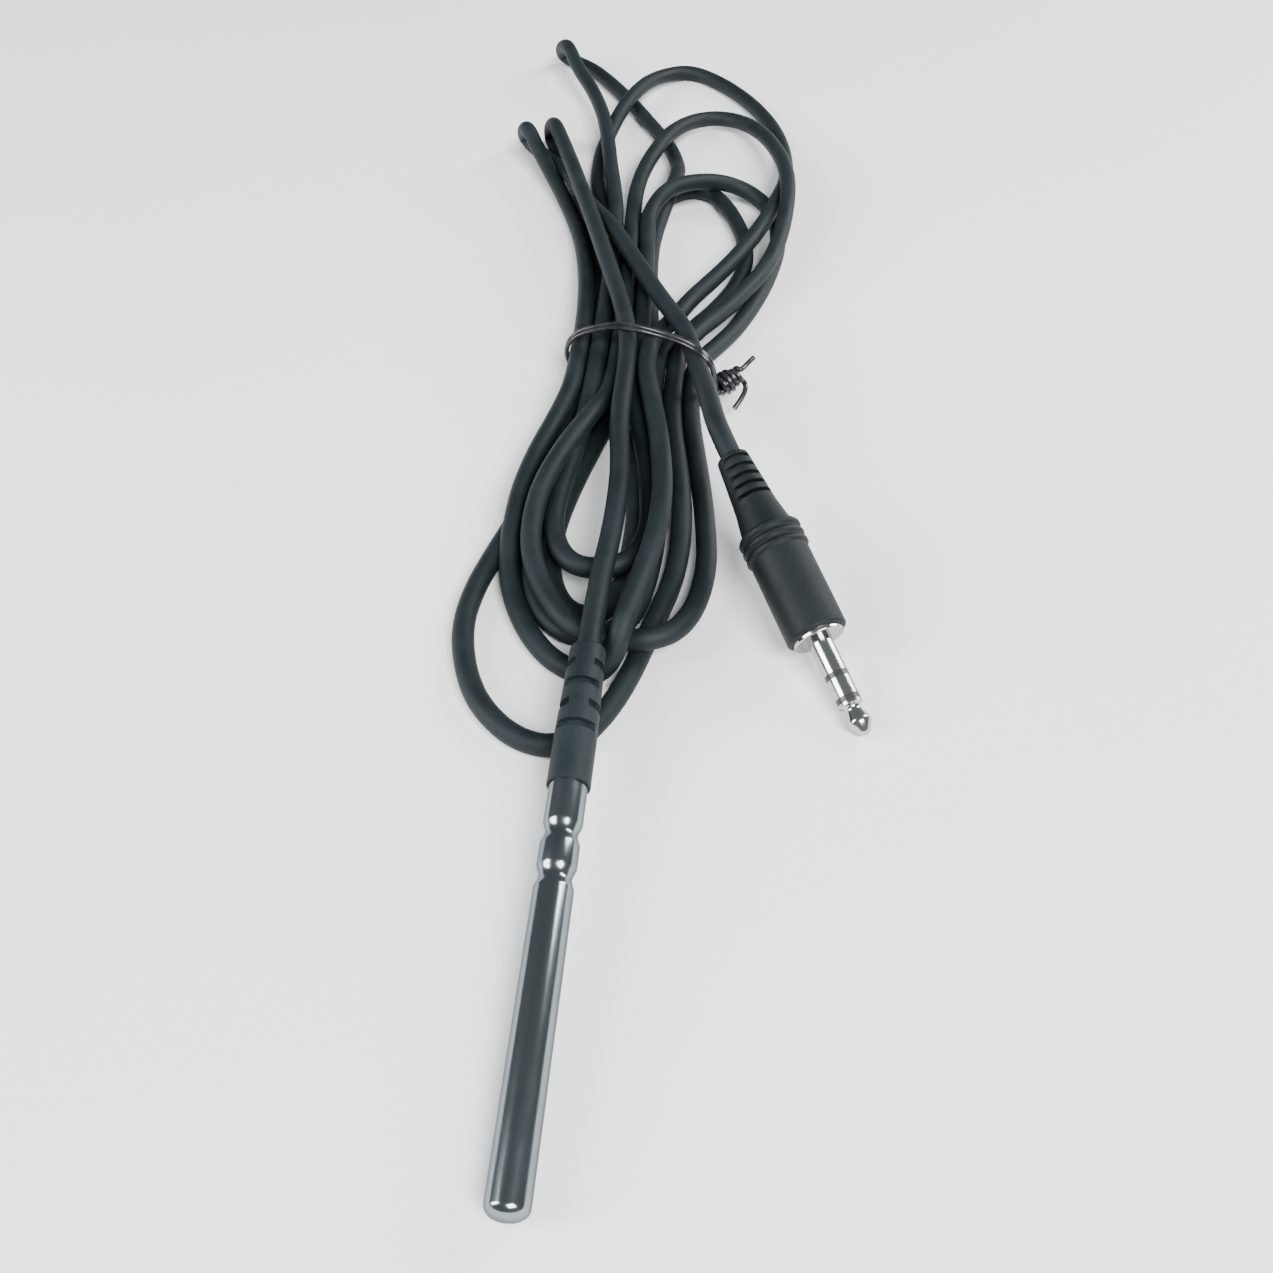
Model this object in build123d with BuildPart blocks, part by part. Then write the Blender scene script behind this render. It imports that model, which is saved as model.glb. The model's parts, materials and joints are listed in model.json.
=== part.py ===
"""Rod probe on a tied hank of round cord with a stereo jack plug, in millimetres.

The probe lies along Y with its domed tip towards -Y. Its tip rests on the surface z = 0 and its
boot rides a little higher, on the turns of cord that pass under it. The hank lies along +Y, and
the jack plug hangs off its right-hand side with the tip of its pin on the surface.
"""
import os
from math import cos, pi, radians, sin, tan

from build123d import *

# ---------------------------------------------------------------- driving dimensions
# probe
sheath_od = 5.0
sheath_wall = 0.3
sheath_visible = 50.0        # tip of the dome to the face of the boot
sheath_in_boot = 7.0         # length that the boot is moulded over
crimp_places = (6.7, 12.5)   # from the face of the boot to the middle of each rolled crimp
crimp_depth = 0.42
crimp_half_width = 1.5
probe_tilt = 4.0             # degrees, tip down
bead_dia = 2.8
bead_length = 4.6
bead_gap = 1.0               # potting between the end of the bore and the bead
bead_nose = 0.9              # rounding of the end of the bead
leg_length = 9.0
leg_sleeve_wall = 0.26
leg_sleeve_length = 8.0
bare_end = 2.0               # conductor stripped back inside the sleeve
potting_end = 33.0           # from the tip
bush_lap = 0.6               # of the seal bush past each outer crimp

# cord
cord_dia = 3.3
core_dia = 1.0
conductor_dia = 0.5
arc_share = 0.45             # most of a run of the cord that the arc at either end may take
core_circle = 0.62           # radius of the circle that the three cores lie on
core_count = 3
jacket_in_sheath = 15.0      # from the face of the boot back into the sheath

# probe boot
boot_length = 21.7
boot_wall = 0.35             # over the sheath
boot_end_wall = 0.85         # over the cord
boot_plain = 7.6             # before the first row of relief slots
boot_rim = 0.5
relief_pitch = 3.35
relief_width = 1.2
relief_rows = 4
relief_floor = 0.35          # left over the cord at the bottom of a slot
relief_rib = 2.6             # width of the solid rib that each slot leaves across the boot

# jack plug
pin_dia = 3.5
pin_length = 15.0
tip_length = 5.0
tip_end_dia = 1.1
tip_nose_dia = 1.9
tip_nose = 0.3               # from the end of the pin to its nose diameter
tip_shoulder = 1.7           # from the end of the pin to its full diameter
tip_land = 0.6               # length at full diameter
tip_neck_dia = 2.4
tip_neck = (3.7, 4.3)        # start and end of the neck that the socket's spring drops into
tip_collar = 0.4             # full diameter again, next to the black ring
black_ring = 0.85
ring_length = 2.85
rod_dia = 1.2
film_wall = 0.25             # insulating sleeve between two contacts
ring_tube_wall = 0.3
flange_dia = 7.6
flange_thick = 1.4
flange_proud = 0.6
flange_edge = 0.2
lug_thick = 0.4
lug_pitch = 1.5
lug_width = 1.1
lug_reach = 2.6
lug_rim = 0.3
solder_dia = 0.9
solder_height = 0.6
splay_circle = 2.0           # radius of the circle that the cores lie on at the lugs
splay_lead = 1.2             # straight run of the longest core behind its lug
splay_length = 4.0
splay_bend = 2.0             # bend radius of a core, in core diameters
cover_dia = 9.0
cover_length = 31.5
cover_body = 13.5            # plain barrel, from the face of the cover
cover_ridge = 0.32
cover_ridge_pitch = 1.45
cover_ridges = 3
ridge_rise = 0.3             # share of the pitch that a ridge takes to rise
ridge_flat = 0.3
ridge_fall = 0.3
shoulder_dia = 8.0
waist_dia = 6.5
relief_end_dia = 4.9
plug_relief_length = 9.2
plug_slot_rows = 5
plug_slot_pitch = 1.7
plug_slot_width = 0.7
inner_mould_dia = 6.6
inner_mould_length = 12.0
plug_yaw = 27.0              # degrees from +Y, cable end to the left
plug_pitch = 16.5            # degrees, pin tip down
pin_tip_place = (38.6, 29.1)  # its height follows from the pin resting on the surface

# hank and tie
tie_y = 106.5
tie_wire = 0.7
tie_width = 1.5
waist_left = -11.6
waist_right = 13.4
waist_height = 10.8
waist_round = 3.2
waist_front = 98.0
waist_back = 128.0
twist_dia = 3.4
twist_length = 4.6
tail_dia = 0.7
tail_length = 4.5
lower_height = 5.2
upper_height = 6.6
lobe_corner = 1.6            # rounding of the corners of a lobe

# clearances
slide = 0.02                 # between pieces that are threaded on each other
sit = 0.3                    # between the cord's solids and what they pass
boot_gap = 0.9               # between the lower lobe of the hank and the end of the boot


# ---------------------------------------------------------------- frames
def frame_at(start, direction):
    """Plane with its Y along direction, for profiles that are turned about that direction."""
    direction = direction.normalized()
    across = Vector(direction.Y, -direction.X, 0).normalized()
    return Plane(origin=start, x_dir=across, z_dir=across.cross(direction))


def cross_plane(side, distance):
    """Plane square to the axis of side, at a distance along it, with its own Y upwards."""
    return Plane(origin=side.origin + side.y_dir * distance, x_dir=-side.x_dir, z_dir=side.y_dir)


def axis_of(side):
    return Axis(side.origin, side.y_dir)


probe_length = sheath_visible + boot_length
boot_dia = sheath_od + 2 * boot_wall
boot_end_dia = cord_dia + 2 * boot_end_wall
tilt = radians(probe_tilt)
dome_r = sheath_od / 2
probe_middle = ((probe_length - dome_r) * cos(tilt) + boot_end_dia / 2 * sin(tilt) - dome_r) / 2
probe_dir = Vector(0, cos(tilt), sin(tilt))
dome_centre = Vector(0, -probe_middle, dome_r)
probe_reach = probe_middle + dome_r
probe = frame_at(dome_centre - probe_dir * dome_r, probe_dir)

yaw = radians(plug_yaw)
pitch = radians(plug_pitch)
plug_dir = Vector(-sin(yaw) * cos(pitch), cos(yaw) * cos(pitch), sin(pitch))
pin_r = pin_dia / 2
pin_tip_height = pin_r * cos(pitch) - tip_shoulder * sin(pitch)
plug = frame_at(Vector(*pin_tip_place, pin_tip_height), plug_dir)


def ring_of_cores(circle):
    """The three places of the cores round an axis, the first one at the top."""
    turn = 2 * pi / core_count
    return [(-circle * sin(k * turn), circle * cos(k * turn)) for k in range(core_count)]


# ---------------------------------------------------------------- probe
inner_r = sheath_od / 2 - sheath_wall
sheath_length = sheath_visible + sheath_in_boot
crimps = [sheath_visible - place for place in crimp_places]


def sheath_outline(radius, start, end):
    """Half outline of a body that fills the sheath to a radius, with the rolled crimps."""
    pinch = radius - crimp_depth
    with BuildLine() as outline:
        Line((0, start), (radius, start))
        height = start
        for middle in sorted(crimps):
            if start < middle - crimp_half_width and middle + crimp_half_width < end:
                low = middle - crimp_half_width
                high = middle + crimp_half_width
                Line((radius, height), (radius, low))
                Spline((radius, low), (pinch, middle), (radius, high), tangents=((0, 1), (0, 1)))
                height = high
        Line((radius, height), (radius, end))
        Line((radius, end), (0, end))
        Line((0, end), (0, start))
    return outline.line


with BuildPart() as probe_sheath:
    with BuildSketch(probe):
        with BuildLine():
            add(sheath_outline(dome_r, dome_r, sheath_length))
        make_face()
    revolve(axis=axis_of(probe))
    with BuildSketch(probe):
        with BuildLine():
            CenterArc((0, dome_r), dome_r, -90, 90)
            Line((dome_r, dome_r), (0, dome_r))
            Line((0, dome_r), (0, 0))
        make_face()
    revolve(axis=axis_of(probe))
    with BuildSketch(probe):
        with BuildLine():
            add(sheath_outline(inner_r, dome_r, sheath_length))
        make_face()
    revolve(axis=axis_of(probe), mode=Mode.SUBTRACT)
    with BuildSketch(probe):
        with BuildLine():
            CenterArc((0, dome_r), inner_r, -90, 90)
            Line((inner_r, dome_r), (0, dome_r))
            Line((0, dome_r), (0, sheath_wall))
        make_face()
    revolve(axis=axis_of(probe), mode=Mode.SUBTRACT)
probe_sheath.part.label = "probe_sheath"

bead_start = sheath_wall + bead_gap
bead_end = bead_start + bead_length
with BuildPart() as sensor_bead:
    with BuildSketch(cross_plane(probe, bead_start)):
        Circle(bead_dia / 2)
    extrude(amount=bead_length)
    fillet(sensor_bead.edges().sort_by(axis_of(probe))[0], bead_nose)
sensor_bead.part.label = "sensor_bead"

legs_end = bead_end + leg_length
with BuildPart() as sensor_legs:
    with BuildSketch(cross_plane(probe, bead_end)):
        with Locations(*ring_of_cores(core_circle)):
            Circle(conductor_dia / 2)
    extrude(amount=leg_length)
sensor_legs.part.label = "sensor_legs"

sleeves_start = legs_end + bare_end - leg_sleeve_length
with BuildPart() as leg_sleeves:
    with BuildSketch(cross_plane(probe, sleeves_start)):
        with Locations(*ring_of_cores(core_circle)):
            Circle(conductor_dia / 2 + leg_sleeve_wall)
            Circle(conductor_dia / 2, mode=Mode.SUBTRACT)
    extrude(amount=leg_sleeve_length)
leg_sleeves.part.label = "leg_sleeves"

with BuildPart() as probe_conductors:
    with BuildSketch(cross_plane(probe, legs_end)):
        with Locations(*ring_of_cores(core_circle)):
            Circle(conductor_dia / 2)
    extrude(amount=probe_length - legs_end)
probe_conductors.part.label = "probe_conductors"

with BuildPart() as probe_core_insulation:
    with BuildSketch(cross_plane(probe, legs_end + bare_end)):
        with Locations(*ring_of_cores(core_circle)):
            Circle(core_dia / 2)
            Circle(conductor_dia / 2, mode=Mode.SUBTRACT)
    extrude(amount=probe_length - legs_end - bare_end)
probe_core_insulation.part.label = "probe_core_insulation"

jacket_start = sheath_visible - jacket_in_sheath
with BuildPart() as probe_cord_end:
    with BuildSketch(cross_plane(probe, jacket_start)):
        Circle(cord_dia / 2)
        with Locations(*ring_of_cores(core_circle)):
            Circle(core_dia / 2, mode=Mode.SUBTRACT)
    extrude(amount=probe_length - jacket_start)
probe_cord_end.part.label = "probe_cord_end"

with BuildPart() as potting_compound:
    with BuildSketch(probe):
        with BuildLine():
            CenterArc((0, dome_r), inner_r, -90, 90)
            Line((inner_r, dome_r), (inner_r, potting_end))
            Line((inner_r, potting_end), (0, potting_end))
            Line((0, potting_end), (0, sheath_wall))
        make_face()
    revolve(axis=axis_of(probe))
    for buried in (sensor_bead, sensor_legs, leg_sleeves, probe_conductors, probe_core_insulation):
        add(buried.part, mode=Mode.SUBTRACT)
potting_compound.part.label = "potting_compound"

bush_end = max(crimps) + crimp_half_width + bush_lap
bush_start = min(crimps) - crimp_half_width - bush_lap
with BuildPart() as seal_bush:
    with BuildSketch(probe):
        with BuildLine():
            add(sheath_outline(inner_r, bush_start, bush_end))
        make_face()
    revolve(axis=axis_of(probe))
    add(probe_cord_end.part, mode=Mode.SUBTRACT)
    add(probe_core_insulation.part, mode=Mode.SUBTRACT)
    add(probe_conductors.part, mode=Mode.SUBTRACT)
seal_bush.part.label = "seal_bush"

relief_radius = cord_dia / 2 + relief_floor
with BuildPart() as probe_boot:
    with BuildSketch(probe):
        with BuildLine():
            Polyline(
                (cord_dia / 2, bush_end),
                (inner_r, bush_end),
                (inner_r, sheath_length),
                (sheath_od / 2, sheath_length),
                (sheath_od / 2, sheath_visible),
                (boot_dia / 2, sheath_visible),
                (boot_dia / 2, sheath_visible + boot_plain),
                (boot_end_dia / 2, probe_length),
                (cord_dia / 2, probe_length),
                close=True,
            )
        make_face()
    revolve(axis=axis_of(probe))
    rims = probe_boot.edges().filter_by(GeomType.CIRCLE).sort_by(axis_of(probe))
    outer_rims = [rim for rim in rims if rim.radius > sheath_od / 2 - slide]
    fillet(outer_rims[-1], boot_rim)
    for row in range(relief_rows):
        start = sheath_visible + boot_plain + row * relief_pitch
        with BuildSketch(cross_plane(probe, start)):
            Circle(boot_dia)
            Circle(relief_radius, mode=Mode.SUBTRACT)
            if row % 2 == 0:
                Rectangle(2 * boot_dia, relief_rib, mode=Mode.SUBTRACT)
            else:
                Rectangle(relief_rib, 2 * boot_dia, mode=Mode.SUBTRACT)
        extrude(amount=relief_width, mode=Mode.SUBTRACT)
probe_boot.part.label = "probe_boot"


# ---------------------------------------------------------------- jack plug
ring_start = tip_length + black_ring
ring_end = ring_start + ring_length
sleeve_start = ring_end + black_ring
cover_start = pin_length + flange_proud
cover_end = cover_start + cover_length
flange_end = pin_length + flange_thick
film_r = rod_dia / 2 + film_wall
tube_r = film_r + ring_tube_wall
outer_film_r = tube_r + film_wall
sleeve_lug_at = flange_end + lug_pitch
ring_lug_at = sleeve_lug_at + lug_pitch
tip_lug_at = ring_lug_at + lug_pitch


def turned(outline, mode=Mode.ADD):
    """Turn a closed half outline, given as (radius, distance) corners, about the plug's axis."""
    with BuildSketch(plug) as profile:
        with BuildLine():
            Polyline(*outline, close=True)
        make_face()
    revolve(profile.sketch, axis=axis_of(plug), mode=mode)


def tube_outline(inner, outer, start, end):
    return [(inner, start), (outer, start), (outer, end), (inner, end)]


with BuildPart() as plug_tip_contact:
    turned([
        (0, 0),
        (tip_end_dia / 2, 0),
        (tip_nose_dia / 2, tip_nose),
        (pin_r, tip_shoulder),
        (pin_r, tip_shoulder + tip_land),
        (tip_neck_dia / 2, tip_neck[0]),
        (tip_neck_dia / 2, tip_neck[1]),
        (pin_r, tip_length - tip_collar),
        (pin_r, tip_length),
        (rod_dia / 2, tip_length),
        (rod_dia / 2, tip_lug_at + lug_thick),
        (0, tip_lug_at + lug_thick),
    ])
plug_tip_contact.part.label = "plug_tip_contact"

with BuildPart() as plug_front_insulator:
    turned(tube_outline(rod_dia / 2, film_r, tip_length, tip_lug_at))
    turned(tube_outline(film_r, pin_r, tip_length, ring_start))
plug_front_insulator.part.label = "plug_front_insulator"

with BuildPart() as plug_ring_contact:
    turned(tube_outline(film_r, pin_r, ring_start, ring_end))
    turned(tube_outline(film_r, tube_r, ring_end, ring_lug_at + lug_thick))
plug_ring_contact.part.label = "plug_ring_contact"

with BuildPart() as plug_rear_insulator:
    turned(tube_outline(tube_r, outer_film_r, ring_end, ring_lug_at))
    turned(tube_outline(outer_film_r, pin_r, ring_end, sleeve_start))
plug_rear_insulator.part.label = "plug_rear_insulator"

with BuildPart() as plug_sleeve_contact:
    turned(tube_outline(outer_film_r, pin_r, sleeve_start, sleeve_lug_at + lug_thick))
    turned(tube_outline(pin_r, flange_dia / 2, pin_length, flange_end))
    face_edges = plug_sleeve_contact.edges().filter_by(GeomType.CIRCLE)
    fillet([edge for edge in face_edges if edge.radius > pin_r + slide], flange_edge)
plug_sleeve_contact.part.label = "plug_sleeve_contact"


def solder_lug(bore, start, turn):
    """A washer on the back of the pin with a tab that carries one core."""
    tab_x, tab_y = ring_of_cores(lug_reach / 2)[turn]
    with BuildSketch(cross_plane(plug, start)) as profile:
        Circle(bore + lug_rim)
        with Locations(Location((tab_x, tab_y, 0), turn * 360 / core_count)):
            Rectangle(lug_width, lug_reach)
        Circle(bore, mode=Mode.SUBTRACT)
    extrude(profile.sketch, amount=lug_thick)


with BuildPart() as tip_lug:
    solder_lug(rod_dia / 2, tip_lug_at, 0)
tip_lug.part.label = "tip_lug"

with BuildPart() as ring_lug:
    solder_lug(tube_r, ring_lug_at, 1)
ring_lug.part.label = "ring_lug"

with BuildPart() as sleeve_lug:
    solder_lug(pin_r, sleeve_lug_at, 2)
sleeve_lug.part.label = "sleeve_lug"

lug_backs = [at + lug_thick for at in (tip_lug_at, ring_lug_at, sleeve_lug_at)]
splay_start = tip_lug_at + lug_thick + splay_lead
jacket_at = splay_start + splay_length


def core_at(number, circle, distance):
    """Centre of one core at a distance along the plug, on a circle round its axis."""
    x, y = ring_of_cores(circle)[number]
    return cross_plane(plug, distance).from_local_coords((x, y, 0))


def splayed_core(radius, number, start):
    """One core from its lug, parallel to the axis, in to its place in the cord."""
    points = [
        core_at(number, splay_circle, start),
        core_at(number, splay_circle, splay_start),
        core_at(number, core_circle, jacket_at),
        core_at(number, core_circle, cover_end),
    ]
    with BuildLine() as path:
        FilletPolyline(*points, radius=splay_bend * core_dia)
    with BuildSketch(Plane(origin=points[0], z_dir=plug_dir)) as section:
        Circle(radius)
    sweep(section.sketch, path=path.line)


with BuildPart() as plug_conductors:
    for number, back in enumerate(lug_backs):
        splayed_core(conductor_dia / 2, number, back)
plug_conductors.part.label = "plug_conductors"

with BuildPart() as plug_core_insulation:
    for number, back in enumerate(lug_backs):
        splayed_core(core_dia / 2, number, back + solder_height)
    add(plug_conductors.part, mode=Mode.SUBTRACT)
plug_core_insulation.part.label = "plug_core_insulation"

with BuildPart() as plug_solder:
    for number, back in enumerate(lug_backs):
        with BuildSketch(Plane(origin=core_at(number, splay_circle, back), z_dir=plug_dir)):
            Circle(solder_dia / 2)
            Circle(conductor_dia / 2, mode=Mode.SUBTRACT)
        extrude(amount=solder_height)
plug_solder.part.label = "plug_solder"

with BuildPart() as plug_cord_end:
    with BuildSketch(cross_plane(plug, jacket_at)):
        Circle(cord_dia / 2)
    extrude(amount=cover_end - jacket_at)
    add(plug_core_insulation.part, mode=Mode.SUBTRACT)
    add(plug_conductors.part, mode=Mode.SUBTRACT)
plug_cord_end.part.label = "plug_cord_end"

mould_end = flange_end + inner_mould_length
metal_and_cores = (
    plug_front_insulator, plug_ring_contact, plug_rear_insulator, plug_sleeve_contact,
    plug_tip_contact, tip_lug, ring_lug, sleeve_lug, plug_solder, plug_conductors,
    plug_core_insulation, plug_cord_end,
)
with BuildPart() as plug_inner_mould:
    turned(tube_outline(0, inner_mould_dia / 2, flange_end, mould_end))
    for buried in metal_and_cores:
        add(buried.part, mode=Mode.SUBTRACT)
plug_inner_mould.part.label = "plug_inner_mould"

ridges_at = cover_start + cover_body
shoulder_at = ridges_at + cover_ridges * cover_ridge_pitch
relief_start = cover_end - plug_relief_length
cover_r = cover_dia / 2
with BuildPart() as plug_cover:
    ridge_outline = []
    for ridge in range(cover_ridges):
        low = ridges_at + ridge * cover_ridge_pitch
        crest = low + ridge_rise * cover_ridge_pitch
        crest_end = crest + ridge_flat * cover_ridge_pitch
        ridge_outline += [
            (cover_r, low),
            (cover_r + cover_ridge, crest),
            (cover_r + cover_ridge, crest_end),
            (cover_r, crest_end + ridge_fall * cover_ridge_pitch),
        ]
    turned(
        [(0, cover_start), (cover_r, cover_start)] + ridge_outline + [
            (shoulder_dia / 2, shoulder_at),
            (waist_dia / 2, relief_start),
            (relief_end_dia / 2, cover_end),
            (0, cover_end),
        ]
    )
    rims = plug_cover.edges().filter_by(GeomType.CIRCLE).sort_by(axis_of(plug))
    fillet(rims[0], boot_rim)
    fillet(plug_cover.edges().filter_by(GeomType.CIRCLE).sort_by(axis_of(plug))[-1], boot_rim)
    turned(tube_outline(0, flange_dia / 2, cover_start, flange_end), mode=Mode.SUBTRACT)
    turned(tube_outline(0, inner_mould_dia / 2, flange_end, mould_end), mode=Mode.SUBTRACT)
    turned(tube_outline(0, cord_dia / 2, mould_end, cover_end), mode=Mode.SUBTRACT)
    for row in range(plug_slot_rows):
        start = relief_start + row * plug_slot_pitch + plug_slot_pitch / 2
        with BuildSketch(cross_plane(plug, start)):
            Circle(cover_dia)
            Circle(relief_radius, mode=Mode.SUBTRACT)
            Rectangle(2 * cover_dia, relief_rib, mode=Mode.SUBTRACT)
        extrude(amount=plug_slot_width, mode=Mode.SUBTRACT)
plug_cover.part.label = "plug_cover"


# ---------------------------------------------------------------- cord
def cord_radii(points):
    """The largest arc that each corner of the route has room for."""
    radii = []
    for before, here, after in zip(points, points[1:], points[2:]):
        run_in = here - before
        run_out = after - here
        turn = radians(run_in.get_angle(run_out))
        room = arc_share * min(run_in.length, run_out.length)
        radii.append(room / tan(turn / 2))
    return radii


def cord_tube(points, name):
    """Sweep the cord's section along straight runs joined by tangent arcs."""
    radii = cord_radii(points)
    with BuildLine() as path:
        FilletPolyline(*points, radius=radii)
    with BuildSketch(Plane(origin=points[0], z_dir=points[1] - points[0])) as section:
        Circle(cord_dia / 2)
    sweep(section.sketch, path=path.line)
    length = sum(edge.length for edge in path.edges())
    print(name, "length", round(length, 1), "radii", [round(radius, 1) for radius in radii])


lead_height = waist_height - cord_dia / 2 - sit
probe_exit = probe.origin + probe_dir * probe_length
plug_exit = plug.origin + plug_dir * cover_end

probe_lead_points = [
    probe_exit,
    probe_exit + probe_dir * 10.0,
    Vector(1.0, 58.0, 8.8),
    Vector(1.0, 71.0, 9.1),
    Vector(-0.8, 84.0, lead_height),
    Vector(-0.8, waist_front, lead_height),
]
with BuildPart() as cord_lead_probe:
    cord_tube(probe_lead_points, "cord_lead_probe")
cord_lead_probe.part.label = "cord_lead_probe"

plug_lead_points = [
    plug_exit,
    plug_exit + plug_dir * 6.0,
    Vector(13.4, 81.0, 15.4),
    Vector(12.0, 87.0, 12.2),
    Vector(11.4, 92.5, lead_height),
    Vector(11.4, waist_front, lead_height),
]
with BuildPart() as cord_lead_plug:
    cord_tube(plug_lead_points, "cord_lead_plug")
cord_lead_plug.part.label = "cord_lead_plug"


# the loops at the far end fan out past the tie, and those at the near end lie round the boot
upper_outline = [
    (waist_right, waist_back - 2.0),
    (22.5, 137.0),
    (28.0, 157.0),
    (29.5, 182.0),
    (25.0, 204.0),
    (14.0, 221.0),
    (2.0, 228.5),
    (-8.0, 225.0),
    (-29.0, 246.0),
    (-33.5, 242.0),
    (-19.0, 206.0),
    (-18.0, 190.0),
    (-27.0, 191.0),
    (-34.0, 198.0),
    (-37.0, 194.0),
    (-20.0, 157.0),
    (waist_left, waist_back - 2.0),
]
lower_outline = [
    (waist_left, waist_front + 2.0),
    (-14.5, 84.0),
    (-17.0, 66.0),
    (-15.5, 49.0),
    (-9.0, probe_reach + boot_gap),
    (9.0, probe_reach + boot_gap),
    (15.5, 44.0),
    (17.0, 58.0),
    (15.5, 74.0),
    (waist_right, 88.0),
    (waist_right, waist_front + 2.0),
]
big_loop_outline = [
    (-15.0, 66.0),
    (-20.5, 55.0),
    (-22.0, 42.0),
    (-18.0, 28.0),
    (-9.0, 22.6),
    (1.0, 22.4),
    (8.5, 32.0),
    (12.0, 46.0),
    (0.0, 60.0),
]


def lobe(outline, height):
    """A flat lobe of the hank: a rounded outline on the surface, raised to a height."""
    with BuildSketch() as shape:
        with BuildLine():
            Polyline(*outline, close=True)
        make_face()
        fillet(shape.vertices(), lobe_corner)
    extrude(shape.sketch, amount=height)


waist_width = waist_right - waist_left
waist_middle = (waist_left + waist_right) / 2
waist_place = (waist_middle, (tie_wire + waist_height) / 2)
with BuildPart() as cord_hank:
    lobe(upper_outline, upper_height)
    lobe(lower_outline, lower_height)
    lobe(big_loop_outline, cord_dia)
    with BuildSketch(Plane.XZ.offset(-waist_back)):
        with Locations(waist_place):
            RectangleRounded(waist_width, waist_height - tie_wire, waist_round)
    extrude(amount=waist_back - waist_front)
cord_hank.part.label = "cord_hank"

with BuildPart() as twist_tie:
    with BuildSketch(Plane.XZ.offset(-tie_y)):
        with Locations(waist_place):
            RectangleRounded(waist_width + 2 * tie_wire, waist_height + tie_wire, waist_round + tie_wire)
            RectangleRounded(waist_width, waist_height - tie_wire, waist_round, mode=Mode.SUBTRACT)
    extrude(amount=tie_width / 2, both=True)
    twist_plane = Plane(
        origin=(waist_right + tie_wire / 2, tie_y, waist_place[1]),
        x_dir=(0, 1, 0),
        z_dir=(1, 0, 0),
    )
    with BuildSketch(twist_plane):
        Circle(twist_dia / 2)
    extrude(amount=twist_length)
    with BuildSketch(twist_plane.offset(twist_length - tail_dia)):
        with Locations((twist_dia / 4, 0), (-twist_dia / 4, 0)):
            Circle(tail_dia / 2)
    extrude(amount=tail_length)
twist_tie.part.label = "twist_tie"


# ---------------------------------------------------------------- write the pieces
pieces = (
    probe_sheath, sensor_bead, sensor_legs, leg_sleeves, potting_compound, probe_conductors,
    probe_core_insulation, seal_bush, probe_cord_end, probe_boot, cord_lead_probe, cord_hank,
    twist_tie, cord_lead_plug, plug_cover, plug_inner_mould, plug_cord_end, plug_core_insulation,
    plug_conductors, plug_solder, tip_lug, ring_lug, sleeve_lug, plug_tip_contact,
    plug_front_insulator, plug_ring_contact, plug_rear_insulator, plug_sleeve_contact,
)
os.makedirs("parts", exist_ok=True)
for piece in pieces:
    export_step(piece.part, f"parts/{piece.part.label}.step")
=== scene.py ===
"""Looks of the soil probe sensor: its hanked cord, wire tie, finishes, lights and camera.

Places and sizes of pieces are in millimetres; lamps, floor and camera are in metres.
"""

import math

import bmesh
import bpy
from mathutils import Matrix, Vector
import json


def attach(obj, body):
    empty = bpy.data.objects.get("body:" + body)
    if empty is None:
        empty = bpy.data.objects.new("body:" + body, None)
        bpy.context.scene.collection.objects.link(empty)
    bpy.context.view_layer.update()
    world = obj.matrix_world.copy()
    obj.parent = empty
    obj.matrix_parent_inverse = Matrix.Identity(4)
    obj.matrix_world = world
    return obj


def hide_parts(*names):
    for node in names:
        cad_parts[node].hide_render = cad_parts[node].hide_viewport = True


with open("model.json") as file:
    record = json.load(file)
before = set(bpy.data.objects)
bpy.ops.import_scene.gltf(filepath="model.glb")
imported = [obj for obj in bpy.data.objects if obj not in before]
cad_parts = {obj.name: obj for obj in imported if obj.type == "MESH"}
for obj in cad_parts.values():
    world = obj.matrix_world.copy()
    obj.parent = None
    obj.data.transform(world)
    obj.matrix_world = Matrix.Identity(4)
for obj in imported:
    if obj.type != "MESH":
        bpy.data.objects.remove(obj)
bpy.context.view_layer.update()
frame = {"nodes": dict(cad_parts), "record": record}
nodes = frame["nodes"]

MM = 0.001

# the numbers of a Mix node's colour sockets
MIX_FIRST = 6
MIX_SECOND = 7
MIX_RESULT = 2


# ---------------------------------------------------------------- finishes


class Signal:
    """A value or colour on its way through a finish; ordinary arithmetic adds its Math nodes."""

    def __init__(self, finish, socket):
        self.finish = finish
        self.socket = socket

    def math(self, operation, *terms):
        inputs = {index: term for index, term in enumerate(terms)}
        return self.finish.node("ShaderNodeMath", {"operation": operation}, inputs)

    def __add__(self, other):
        return self.math("ADD", self, other)

    def __mul__(self, other):
        return self.math("MULTIPLY", self, other)

    __radd__ = __add__
    __rmul__ = __mul__

    def between(self, low, high):
        """Rises smoothly from 0 to 1 as the signal goes from low to high."""
        settings = {"interpolation_type": "SMOOTHSTEP"}
        inputs = {"Value": self, "From Min": low, "From Max": high}
        return self.finish.node("ShaderNodeMapRange", settings, inputs)


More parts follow.
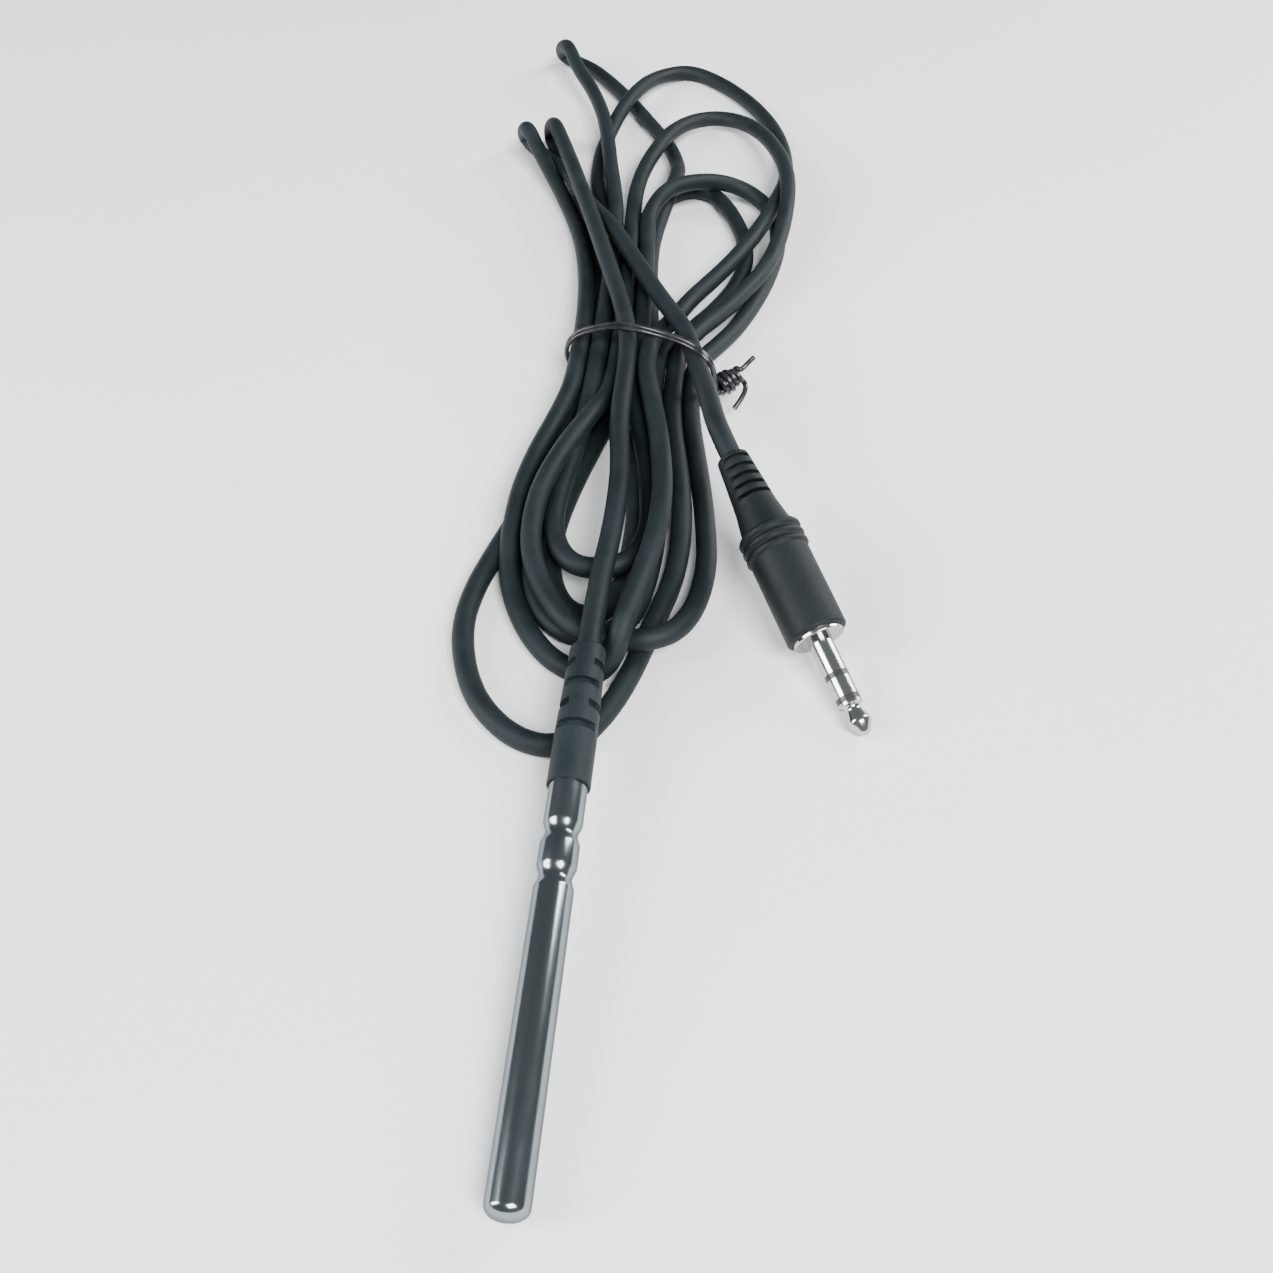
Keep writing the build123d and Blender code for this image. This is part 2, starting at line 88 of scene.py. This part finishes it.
class Finish:
    """A material whose sockets are set by name, with every other node made by one method."""

    def __init__(self, name, constants=None):
        self.material = bpy.data.materials.new(name)
        self.material.use_nodes = True
        self.tree = self.material.node_tree
        self.shader = self.tree.nodes["Principled BSDF"]
        for socket, value in (constants or {}).items():
            self.shader.inputs[socket].default_value = value

    def node(self, kind, settings=None, inputs=None, output=0):
        made = self.tree.nodes.new(kind)
        for name, value in (settings or {}).items():
            setattr(made, name, value)
        for name, value in (inputs or {}).items():
            if isinstance(value, Signal):
                self.tree.links.new(value.socket, made.inputs[name])
            else:
                made.inputs[name].default_value = value
        return Signal(self, made.outputs[output])

    def set(self, socket, signal):
        self.tree.links.new(signal.socket, self.shader.inputs[socket])

    def place(self, origin=(0, 0, 0), turn=(0, 0, 0), scale=(1, 1, 1)):
        """Object coordinates in millimetres, seen from a piece's own origin and turn."""
        where = self.node("ShaderNodeTexCoord", output="Object")
        inputs = {"Vector": where, "Location": origin, "Rotation": turn}
        own = self.node("ShaderNodeMapping", {"vector_type": "TEXTURE"}, inputs)
        inputs = {"Vector": own, "Scale": [each / MM for each in scale]}
        return self.node("ShaderNodeMapping", {"vector_type": "POINT"}, inputs)

    def noise(self, where, per_mm, detail=2.0, roughness=0.5):
        inputs = {"Vector": where, "Scale": per_mm, "Detail": detail, "Roughness": roughness}
        return self.node("ShaderNodeTexNoise", None, inputs)

    def blend(self, amount, first, second):
        """A colour between two others; the Mix node's colour sockets share names, so they go by number."""
        inputs = {"Factor": amount, MIX_FIRST: first, MIX_SECOND: second}
        return self.node("ShaderNodeMix", {"data_type": "RGBA"}, inputs, output=MIX_RESULT)

    def bump(self, height, depth_mm):
        inputs = {"Height": height, "Distance": depth_mm * MM, "Strength": 1.0}
        self.set("Normal", self.node("ShaderNodeBump", None, inputs))


def rgba(red, green, blue):
    return (red, green, blue, 1.0)


def soft_pvc(name, base, dusty, rough):
    """Soft moulded or extruded PVC: a dull skin, clouded by handling, with a fine leathery grain."""
    finish = Finish(name, {"Specular IOR Level": 0.26})
    where = finish.place()
    clouds = finish.noise(where, per_mm=0.16, detail=3.0).between(0.35, 0.7)
    skin = finish.noise(where, per_mm=2.6, detail=4.0, roughness=0.62)
    specks = finish.noise(where, per_mm=1.5, detail=2.0).between(0.68, 0.76)
    worn = clouds * 0.65 + skin * 0.35
    colour = finish.blend(worn, rgba(*base), rgba(*dusty))
    lint_lightness = 2.4
    lint = [min(1.0, lint_lightness * part) for part in dusty]
    finish.set("Base Color", finish.blend(specks * 0.35, colour, rgba(*lint)))
    finish.set("Roughness", rough + clouds * 0.08 + skin * 0.1)
    finish.bump(skin, depth_mm=0.05)
    return finish.material


def drawn_steel(name, origin, turn):
    """Polished tube: long fine drawing lines, a few rubbed patches and faint smears."""
    finish = Finish(name, {"Metallic": 1.0, "Specular Tint": rgba(0.38, 0.4, 0.4)})
    along = finish.place(origin, turn, scale=(1, 0.03, 1))
    lines = finish.noise(along, per_mm=5.0, detail=5.0, roughness=0.7)
    own = finish.place(origin, turn)
    smears = finish.noise(own, per_mm=0.12, detail=4.0, roughness=0.6).between(0.4, 0.75)
    bright, grey = rgba(0.25, 0.275, 0.29), rgba(0.19, 0.215, 0.235)
    finish.set("Base Color", finish.blend(smears * 0.7 + lines * 0.3, bright, grey))
    finish.set("Roughness", 0.13 + lines * 0.1 + smears * 0.07)
    finish.bump(lines, depth_mm=0.006)
    return finish.material


def plated(name, base, shadow, rough, origin=(0, 0, 0), turn=(0, 0, 0)):
    """Plated or bare metal turned on a lathe: faint rings round the axis and a little tarnish."""
    finish = Finish(name, {"Metallic": 1.0, "Specular Tint": rgba(0.62, 0.6, 0.57)})
    round_axis = finish.place(origin, turn, scale=(0.02, 1, 0.02))
    rings = finish.noise(round_axis, per_mm=9.0, detail=3.0, roughness=0.6)
    own = finish.place(origin, turn)
    tarnish = finish.noise(own, per_mm=0.5, detail=4.0, roughness=0.6).between(0.45, 0.75)
    finish.set("Base Color", finish.blend(tarnish * 0.6, rgba(*base), rgba(*shadow)))
    finish.set("Roughness", rough + rings * 0.06 + tarnish * 0.08)
    finish.bump(rings, depth_mm=0.004)
    return finish.material


def hard_plastic(name, base, second, rough):
    """Smooth moulded plastic, resin or glass with a slight flow pattern and tiny pits."""
    finish = Finish(name)
    where = finish.place()
    flow = finish.noise(where, per_mm=0.4, detail=3.0).between(0.35, 0.7)
    pits = finish.noise(where, per_mm=4.0, detail=3.0, roughness=0.6)
    finish.set("Base Color", finish.blend(flow, rgba(*base), rgba(*second)))
    finish.set("Roughness", rough + pits * 0.1)
    finish.bump(pits, depth_mm=0.01)
    return finish.material


# ---------------------------------------------------------------- the route of the cord, in millimetres

cord_route = [
    # up from the boot and through the tie, on top of the hank
    (0, 35.68, 7.33), (0, 45.65, 8.02), (1, 58, 8.8), (1, 71, 9.1), (-0.8, 84, 8.85),
    (-0.8, 98, 8.85),
    # first fold, standing on edge at the upper left
    (-1.4, 108, 8.7), (-3.6, 118, 8.6), (-7.2, 130, 8.6), (-12, 146, 8.6), (-16.6, 160.5, 8.6),
    (-21, 174, 8.6), (-23.6, 181.6, 8.7), (-25.9, 188, 8.7), (-27.8, 193.2, 5.2),
    (-27.8, 193.8, 1.65),
    # back down on the floor under it
    (-24.8, 187.4, 1.65), (-20.6, 178, 1.65), (-17.2, 169, 1.65), (-14.4, 159.5, 1.65),
    (-11.9, 149.5, 1.65), (-9.6, 136, 1.65), (-8.7, 122, 1.9), (-8.4, 109, 2.4), (-8.6, 100, 2.4),
    # the wide loop that runs out under the boot
    (-11, 89.5, 1.65), (-13.3, 78, 1.65), (-15.4, 66.5, 1.65), (-17.7, 58, 1.65),
    (-19.4, 50.5, 1.65), (-19.8, 43.4, 1.65), (-18.3, 36.6, 1.65), (-15.6, 30.4, 1.65),
    (-11.7, 26, 1.65), (-8, 23.6, 1.65), (-4, 22.8, 1.65), (0, 24.6, 1.65), (3, 29.2, 1.65),
    (5.2, 34.6, 1.65),
    # up again at the right
    (7, 41, 1.65), (8.6, 47.7, 1.65), (10, 52.8, 1.65), (10.9, 58, 2.2), (11.2, 64, 3.2),
    (10.6, 71.8, 4.2), (9.4, 79.3, 4.8), (8.2, 86, 5), (7.4, 93, 5.2), (7.3, 101, 5.2),
    # second loop of the fan, over the first one
    (7.6, 109, 5.3), (10.4, 116, 4.9), (14.4, 122.5, 4.4), (19.4, 131.4, 4.6), (23, 139, 4.9),
    (25.2, 148, 5.2), (26.5, 157.5, 6.2), (26.9, 166.5, 7.6), (26.1, 175, 7.6),
    (24.4, 184.8, 6.2), (21.4, 195.5, 4.6), (16.6, 204.2, 3.2), (10.4, 207.4, 2.6),
    (4.6, 203.4, 3.4), (0.4, 195.2, 4.8), (-2.3, 186.9, 5), (-4.5, 178, 4.6), (-5.5, 168.9, 4.4),
    (-5.3, 159, 4.6), (-4.7, 147, 5), (-3.8, 128, 5.3), (-3.2, 109, 5.5), (-3.2, 101, 5.5),
    # down the left side and round the bottom, then up at the far right
    (-3.6, 94, 6.2), (-5.4, 87.5, 7.6), (-7.8, 80, 8.3), (-9.9, 73.5, 8.2), (-11.5, 67, 7.5),
    (-11.9, 61, 6.4), (-11.2, 55.5, 5.4), (-9.4, 50.8, 4.9), (-6.8, 46, 4.9), (-3.6, 42.2, 4.6),
    (0, 40.8, 4.2), (3.2, 40.8, 3.6), (5.4, 40.2, 4.6), (8.4, 40.2, 5.1), (12, 42.6, 4.7),
    (14.4, 49, 3.2), (15.5, 57.5, 2.6), (14.9, 65.3, 2.9), (13.9, 72.8, 3.5), (12.4, 81.6, 4),
    (11, 90, 3.9), (10.2, 100, 3.6),
    # third loop of the fan
    (10.8, 108, 3.4), (14.2, 114.5, 2.6), (18, 122.5, 1.8), (21.8, 133.5, 1.65),
    (24.2, 143.4, 1.65), (25.5, 153.1, 1.65), (24.9, 162.2, 1.65), (22.4, 169.4, 1.65),
    (18.3, 173.2, 2.6), (12.7, 172.4, 4.8), (6.9, 168.2, 6.8), (1.4, 162.6, 7.9),
    (-1.9, 156, 5.8), (-1.5, 148, 4.9), (-0.5, 134, 5.2), (0.3, 118, 5.5), (0.3, 101, 5.5),
    # short loop inside the lower half
    (0.7, 95, 5.4), (2.4, 87.6, 5.2), (4.3, 79.3, 5), (5.8, 69.3, 5), (6.2, 61.3, 5),
    (3.9, 55.3, 5), (-0.8, 53.2, 5), (-5.4, 54.2, 5), (-8.4, 59.5, 5), (-9.1, 66.7, 5),
    (-8.2, 75.7, 4.9), (-7.2, 86, 4.9), (-6.7, 95, 5.4), (-6.8, 104, 5.5),
    # long narrow fold at the top left
    (-7, 118, 5.4), (-7.4, 134, 5.1), (-8.1, 148, 4.9), (-9, 158.8, 4.9), (-10.2, 167, 5),
    (-11.8, 175.4, 5), (-13.4, 185.5, 5), (-15.1, 195.5, 5), (-17.6, 205.6, 5), (-21, 214.8, 5.4),
    (-24.8, 222.2, 6.2), (-27.4, 228.6, 7.6), (-29, 232.2, 7.8), (-31.4, 237.6, 4.8),
    (-31.2, 240.6, 1.65), (-27, 237, 1.65),
    # back under the loops of the fan
    (-21.4, 232, 1.65), (-12.9, 219, 1.65), (-5.1, 203.7, 1.65), (0, 193.6, 1.65),
    (2.6, 183, 2.4), (3, 174, 5), (1.6, 166, 4.4), (-0.4, 155, 1.8), (-0.6, 146, 1.65),
    (0.2, 134, 1.65), (1.5, 121, 1.8), (2.1, 109, 2.4), (2.1, 100, 2.4),
    # inner loop on the floor
    (2.1, 93.5, 2.2), (2.2, 86, 1.7), (3.1, 77, 1.65), (3.7, 66, 1.65), (3.3, 54.6, 1.65),
    (1.5, 49, 1.65), (-1.9, 46.3, 1.65), (-5.5, 48.2, 1.65), (-8, 53.2, 1.65), (-9, 59.5, 1.65),
    (-8.7, 67.5, 1.65), (-7.1, 77, 1.65), (-4.9, 87, 1.65), (-2.4, 95.5, 2.2), (-1.4, 104, 2.4),
    # smallest loop of the fan, on the floor
    (-1.6, 114, 2.2), (-2.5, 126, 1.7), (-3.3, 139, 1.65), (-4, 152, 1.65), (-2.6, 162.5, 1.65),
    (1.2, 170.5, 1.65), (6.4, 174.4, 1.65), (11.4, 172.5, 1.65), (15.1, 165.5, 1.65),
    (18.4, 154.8, 1.65), (19, 144.5, 1.65), (16.8, 135.2, 1.65), (13.2, 127.4, 1.65),
    (9.6, 120.5, 2.2), (6.1, 113.5, 3.2), (4.2, 107, 5), (3.9, 100, 5.5),
    # floor loop of the lower half
    (4.2, 94.6, 4.9), (4.9, 88.6, 3.2), (6, 82, 1.9), (6.9, 73, 1.65), (7.1, 64, 1.65),
    (6.6, 55, 1.65), (5.2, 48, 1.65), (2.8, 44, 1.65), (-0.8, 42.8, 1.65), (-5, 43.3, 1.65),
    (-8.8, 46.8, 1.65), (-11.3, 53.5, 1.65), (-12.4, 61, 1.65), (-12, 69, 1.65),
    (-10.3, 78, 1.65), (-8.2, 87, 1.65), (-5.6, 95.5, 2.2), (-4.9, 104, 2.4),
    # largest loop of the fan
    (-5.2, 116, 2.1), (-5.8, 130, 1.65), (-7, 143, 1.65), (-9.2, 155, 1.65), (-12.4, 166, 1.65),
    (-15, 175.5, 1.65), (-15.7, 187.5, 1.65), (-14.8, 198.8, 1.65), (-12.2, 207.8, 4.4),
    (-8.6, 217.4, 5.2), (-4.8, 229, 2.6), (2, 234.7, 1.65), (10, 228.6, 1.65),
    (17.8, 218.2, 1.65), (23.6, 205.8, 1.65), (26.4, 194, 1.65), (27, 180, 2.2),
    (25.2, 167.6, 4.8), (22.2, 155.8, 5), (17.5, 143.2, 5), (12.8, 133.6, 5), (8.8, 126.6, 4.9),
    (6.2, 119.5, 5.2), (4.2, 113.2, 6.6), (2.7, 107, 8.5), (2.4, 101, 8.6),
    # down over everything, then under the end of the boot and up the left side
    (2.8, 96.5, 8.6), (4.2, 90.5, 8.5), (6, 82, 8.4), (7.4, 72.7, 8.4), (7.9, 64.6, 8.4),
    (7.4, 56.9, 8.4), (6.2, 50.1, 8.3), (5.2, 44.8, 8.4), (4.4, 40.4, 8.3), (3.2, 36.8, 4.2),
    (0.6, 35.6, 1.65), (-3.4, 36.4, 1.65), (-7.6, 39.6, 1.65), (-11.4, 45.2, 1.65),
    (-14.2, 52, 1.65), (-15.2, 58.6, 3.2), (-15.1, 64.4, 4.9), (-15, 71.5, 4.9), (-13.8, 80, 4.9),
    (-11.9, 88.3, 5), (-10.4, 96, 5.4), (-10.2, 104, 5.5),
    # last fold, beside the first
    (-10.6, 118, 4.9), (-12.1, 133, 3.9), (-14.6, 147, 2.6), (-18, 159, 1.65), (-22, 169, 2.2),
    (-26.1, 177.2, 3.6), (-29.6, 183.6, 5.4), (-32, 187.8, 7.6), (-34, 192.2, 4.6),
    (-33.8, 194.2, 1.65), (-31, 190.2, 1.65),
    # across the hank and under the tie
    (-26.4, 183.4, 2), (-23, 177.8, 3.3), (-20, 171.6, 4.6), (-17, 164, 5.2), (-13.2, 156.2, 5.8),
    (-9.4, 148.2, 7.9), (-5.6, 140, 8.3), (-0.6, 128.8, 8.7), (3.8, 119, 9.1), (8.4, 110, 9.6),
    (10.2, 103.6, 9.6), (11.3, 98.3, 10.1),
    # up into the plug
    (12.3, 92.9, 11.9), (13.4, 86.4, 14.1), (14.4, 79.8, 15.8), (15.49, 74.46, 16.28),
    (18.1, 69.34, 14.57),
]

# ---------------------------------------------------------------- the plug and the probe in the frame


def tip_frame(mount_name, nose):
    """The tip in front of a round mount, and the turn that lays +Y from the tip into the body.

    The nose is the length, in millimetres, from the tip to where the mount starts.
    """
    mount = next(each for each in frame["record"]["mounts"] if each["name"] == mount_name)
    outwards = Vector(mount["axis"]).normalized()
    behind = nose + mount["dims"]["length_mm"] / 2
    tip = Vector(mount["pos_m"]) + outwards * behind * MM
    return tip, (-outwards).to_track_quat("Y", "Z").to_euler()


probe_nose = 2.5
pin_nose = 4.6
probe_spot, probe_turn = tip_frame("probe_shank", probe_nose)
pin_spot, pin_turn = tip_frame("jack_pin", pin_nose)

cord_skin = soft_pvc("cord_jacket", (0.0030, 0.0066, 0.0082), (0.0085, 0.0145, 0.0172), 0.52)
boot_skin = soft_pvc("boot_pvc", (0.0045, 0.0088, 0.0108), (0.0110, 0.0180, 0.0212), 0.5)
plug_skin = soft_pvc("plug_pvc", (0.0014, 0.0036, 0.0048), (0.0045, 0.0085, 0.0105), 0.5)
nickel = plated("nickel_plate", (0.50, 0.505, 0.50), (0.40, 0.385, 0.35), 0.12, pin_spot, pin_turn)
steel = drawn_steel("stainless_steel", probe_spot, probe_turn)
tinned = plated("tinned_wire", (0.72, 0.72, 0.70), (0.5, 0.5, 0.49), 0.3)
copper = plated("copper", (0.80, 0.42, 0.26), (0.55, 0.27, 0.17), 0.28)
solder = plated("solder", (0.68, 0.68, 0.66), (0.48, 0.48, 0.47), 0.24)
glass = hard_plastic("bead_glass", (0.35, 0.16, 0.10), (0.42, 0.2, 0.12), 0.08)
sleeve = hard_plastic("clear_sleeve", (0.80, 0.78, 0.70), (0.72, 0.70, 0.60), 0.35)
resin = hard_plastic("potting_resin", (0.10, 0.09, 0.08), (0.07, 0.065, 0.06), 0.2)
core_skin = hard_plastic("core_insulation", (0.75, 0.72, 0.66), (0.66, 0.63, 0.57), 0.4)
rubber = hard_plastic("bush_rubber", (0.05, 0.05, 0.05), (0.035, 0.035, 0.035), 0.6)
natural = hard_plastic("inner_plastic", (0.82, 0.80, 0.74), (0.74, 0.72, 0.66), 0.45)
insulator = hard_plastic("black_insulator", (0.012, 0.012, 0.013), (0.024, 0.024, 0.026), 0.3)
coating = hard_plastic("tie_coating", (0.010, 0.010, 0.012), (0.024, 0.025, 0.028), 0.14)

finishes = {
    "sensor_bead": glass,
    "sensor_legs": tinned,
    "leg_sleeves": sleeve,
    "potting_compound": resin,
    "probe_conductors": copper,
    "plug_conductors": copper,
    "probe_core_insulation": core_skin,
    "plug_core_insulation": core_skin,
    "seal_bush": rubber,
    "probe_cord_end": cord_skin,
    "plug_cord_end": cord_skin,
    "probe_boot": boot_skin,
    "plug_cover": plug_skin,
    "plug_inner_mould": natural,
    "plug_solder": solder,
    "tip_lug": tinned,
    "ring_lug": tinned,
    "sleeve_lug": tinned,
    "plug_ring_contact": nickel,
    "plug_sleeve_contact": nickel,
    "plug_front_insulator": insulator,
    "plug_rear_insulator": insulator,
}
for name, material in finishes.items():
    mesh = nodes[name].data
    mesh.materials.clear()
    mesh.materials.append(material)


# ---------------------------------------------------------------- cord and tie


def line_of(points):
    """An open curve of one smooth spline that starts and ends on its points and rounds the others."""
    curve = bpy.data.curves.new("line", "CURVE")
    curve.dimensions = "3D"
    curve.twist_mode = "MINIMUM"
    spline = curve.splines.new("NURBS")
    spline.points.add(len(points) - 1)
    for point, (x, y, z) in zip(spline.points, points):
        point.co = (x * MM, y * MM, z * MM, 1.0)
    spline.use_endpoint_u = True
    spline.order_u = 3
    spline.resolution_u = 8
    return curve


def laid(name, points, thickness, material):
    """A round wire or cord of one thickness, in millimetres, laid along its points."""
    curve = line_of(points)
    curve.bevel_depth = thickness * MM / 2
    curve.bevel_resolution = 8
    curve.use_fill_caps = True
    curve.materials.append(material)
    piece = bpy.data.objects.new(name, curve)
    bpy.context.scene.collection.objects.link(piece)
    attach(piece, "root")
    return piece


cord_thickness = 3.3
cord = laid("cord", cord_route, cord_thickness, cord_skin)
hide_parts("cord_lead_probe", "cord_hank", "cord_lead_plug")

# two coated wires side by side, from the twist over the hank, round its left and back under it
tie_thickness = 0.78
tie_apart = 0.41
tie_lift = 0.1
tie_loop = [
    (14.9, 99.2, 5.2), (14.5, 98.6, 7.8), (13.7, 98.5, 10.6), (11.4, 99.6, 12.5), (8.2, 102.0, 12.5),
    (4.6, 104.8, 11.6), (0.6, 106.8, 11.1), (-3.6, 107.7, 11.0), (-7.6, 107.8, 9.9), (-11.0, 107.8, 8.5),
    (-12.8, 107.6, 6.0), (-12.5, 107.3, 3.4), (-10.4, 106.4, 0.95), (-6.0, 105.0, 0.4), (2.0, 102.4, 0.4),
    (9.0, 100.2, 0.4), (12.4, 99.2, 1.4), (14.2, 98.9, 3.2), (14.9, 99.0, 4.4),
]
for side, name in ((-1, "tie_wire_front"), (1, "tie_wire_back")):
    line = [(x, y + side * tie_apart, z + side * tie_lift) for x, y, z in tie_loop]
    wire = laid(name, line, tie_thickness, coating)

# the twist: two ends wound round each other, fullest in the middle, then two loose tails
twist_start = Vector((15.2, 99.5, 5.0))
twist_end = Vector((18.9, 101.9, 6.2))
twist_turn = (twist_end - twist_start).to_track_quat("Z", "Y")
twist_radius = 1.85
twist_thickness = 0.92
twist_turns = 2.3
twist_waist = 0.45
points_per_turn = 10
tails = (
    ("twist_stub", [(19.6, 102.8, 7.2), (20.4, 104.2, 7.4), (21.0, 105.2, 7.4)]),
    ("twist_tail", [(20.1, 100.2, 5.2), (19.6, 98.0, 4.2), (18.2, 96.2, 3.0)]),
)
for half, (name, tail) in enumerate(tails):
    coil = [tie_loop[-1 - half]]
    steps = int(twist_turns * points_per_turn)
    for step in range(steps + 1):
        share = step / steps
        angle = math.tau * step / points_per_turn + math.pi * half
        fullness = math.sin(math.pi * min(0.85, 0.15 + share))
        swell = twist_radius * (twist_waist + (1 - twist_waist) * fullness)
        ring = Vector((math.cos(angle), math.sin(angle), 0)) * swell
        along = twist_start.lerp(twist_end, share)
        coil.append(tuple(along + twist_turn @ ring))
    wire = laid(name, coil + tail, twist_thickness, coating)
    if half:
        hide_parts("twist_tie")


# ---------------------------------------------------------------- tube and tip


turned_steps = 128
merge_distance = 0.001
crease_angle = math.radians(38)


def turned(name, outline, spot, turn, material):
    """A body turned about +Y of its own frame, from (radius, distance) corners in millimetres."""
    shape = bmesh.new()
    corners = [shape.verts.new((radius * MM, distance * MM, 0.0)) for radius, distance in outline]
    for first, second in zip(corners, corners[1:]):
        shape.edges.new((first, second))
    bmesh.ops.spin(
        shape,
        geom=shape.verts[:] + shape.edges[:],
        cent=(0.0, 0.0, 0.0),
        axis=(0.0, 1.0, 0.0),
        angle=math.tau,
        steps=turned_steps,
        use_merge=True,
    )
    bmesh.ops.remove_doubles(shape, verts=shape.verts[:], dist=merge_distance * MM)
    bmesh.ops.recalc_face_normals(shape, faces=shape.faces[:])
    bmesh.ops.transform(shape, matrix=Matrix.LocRotScale(spot, turn, None), verts=shape.verts[:])
    for face in shape.faces:
        face.smooth = True
    mesh = bpy.data.meshes.new(name)
    shape.to_mesh(mesh)
    shape.free()
    mesh.set_sharp_from_angle(angle=crease_angle)
    mesh.materials.append(material)
    piece = bpy.data.objects.new(name, mesh)
    bpy.context.scene.collection.objects.link(piece)
    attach(piece, "root")
    return piece


tube_radius = 2.5
tube_seen = 50.0
tube_bore = 2.2
tube_end = 57.0
crimp_places = (37.5, 43.3)
crimp_depth = 0.42
crimp_half = 1.5
crimp_sharpness = 1.5
crimp_steps = 14
dome_height = 1.55
dome_fullness = 0.88
dome_steps = 24

tube_outline = []
for step in range(dome_steps + 1):
    angle = math.pi / 2 * step / dome_steps
    out = tube_radius * math.sin(angle) ** dome_fullness
    tube_outline.append((out, dome_height * (1 - math.cos(angle))))
for crimp_place in crimp_places:
    for step in range(crimp_steps + 1):
        share = step / crimp_steps
        pinch = crimp_depth * math.sin(math.pi * share) ** crimp_sharpness
        tube_outline.append((tube_radius - pinch, crimp_place + crimp_half * (2 * share - 1)))
tube_outline += [(tube_radius, tube_end), (tube_bore, tube_end), (tube_bore, tube_seen), (0.0, tube_seen)]
probe_tube = turned("probe_tube", tube_outline, probe_spot, probe_turn, steel)
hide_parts("probe_sheath")

# point, cone, waist, shoulder and the stem that runs back inside the pin
tip_outline = [
    (0.0, 0.0), (0.34, 0.01), (0.58, 0.08), (0.80, 0.22), (1.0, 0.46), (1.62, 1.45), (1.72, 1.72),
    (1.75, 2.0), (1.73, 2.25), (1.62, 2.5), (1.32, 3.3), (1.2, 3.62), (1.16, 3.9), (1.2, 4.2),
    (1.34, 4.38), (1.66, 4.5), (1.75, 4.58), (1.75, 5.0), (0.6, 5.0), (0.6, 21.3), (0.0, 21.3),
]
pin_tip = turned("pin_tip", tip_outline, pin_spot, pin_turn, nickel)
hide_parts("plug_tip_contact")


# ---------------------------------------------------------------- floor, light and camera

floor_reach = 3.0
floor_finish = Finish("floor_paper", {"Roughness": 0.9})
paper = floor_finish.noise(floor_finish.place(), per_mm=0.02, detail=2.0)
dull_white, clean_white = rgba(0.93, 0.93, 0.93), rgba(0.96, 0.96, 0.96)
floor_finish.set("Base Color", floor_finish.blend(paper, dull_white, clean_white))
floor_mesh = bpy.data.meshes.new("floor")
sheet = bmesh.new()
bmesh.ops.create_grid(sheet, x_segments=1, y_segments=1, size=floor_reach)
sheet.to_mesh(floor_mesh)
sheet.free()
floor_mesh.materials.append(floor_finish.material)
floor = bpy.data.objects.new("floor", floor_mesh)
bpy.context.scene.collection.objects.link(floor)

world = bpy.data.worlds.new("studio")
bpy.context.scene.world = world
world.use_nodes = True
sky = world.node_tree.nodes["Background"]
sky.inputs["Color"].default_value = rgba(0.86, 0.95, 1.0)
sky.inputs["Strength"].default_value = 0.26

lit_spot = Vector((0.0, 0.1, 0.0))


def soft_box(name, spot, width, height, watts):
    """A large soft lamp that faces the middle of the object."""
    lamp = bpy.data.lights.new(name, "AREA")
    lamp.shape = "RECTANGLE"
    lamp.size = width
    lamp.size_y = height
    lamp.energy = watts
    holder = bpy.data.objects.new(name, lamp)
    holder.location = spot
    holder.rotation_euler = (lit_spot - Vector(spot)).to_track_quat("-Z", "Y").to_euler()
    bpy.context.scene.collection.objects.link(holder)


soft_box("key_box", (0.4, -0.5, 0.8), width=0.6, height=0.5, watts=24.0)
soft_box("left_box", (-0.8, -0.2, 0.5), width=0.3, height=0.6, watts=12.0)
soft_box("back_box", (0.62, 0.6, 0.42), width=0.22, height=0.5, watts=7.0)

camera_tilt = math.radians(40.78)
camera_swing = math.radians(5.27)

camera_data = bpy.data.cameras.new("view")
camera_data.sensor_width = 36.0
camera_data.lens = 32.19
camera_data.clip_start = 0.005
camera = bpy.data.objects.new("view", camera_data)
camera.location = (0.01592, -0.06459, 0.1275)
camera.rotation_euler = (camera_tilt, 0.0, camera_swing)
bpy.context.scene.collection.objects.link(camera)
bpy.context.scene.camera = camera

bpy.context.view_layer.update()
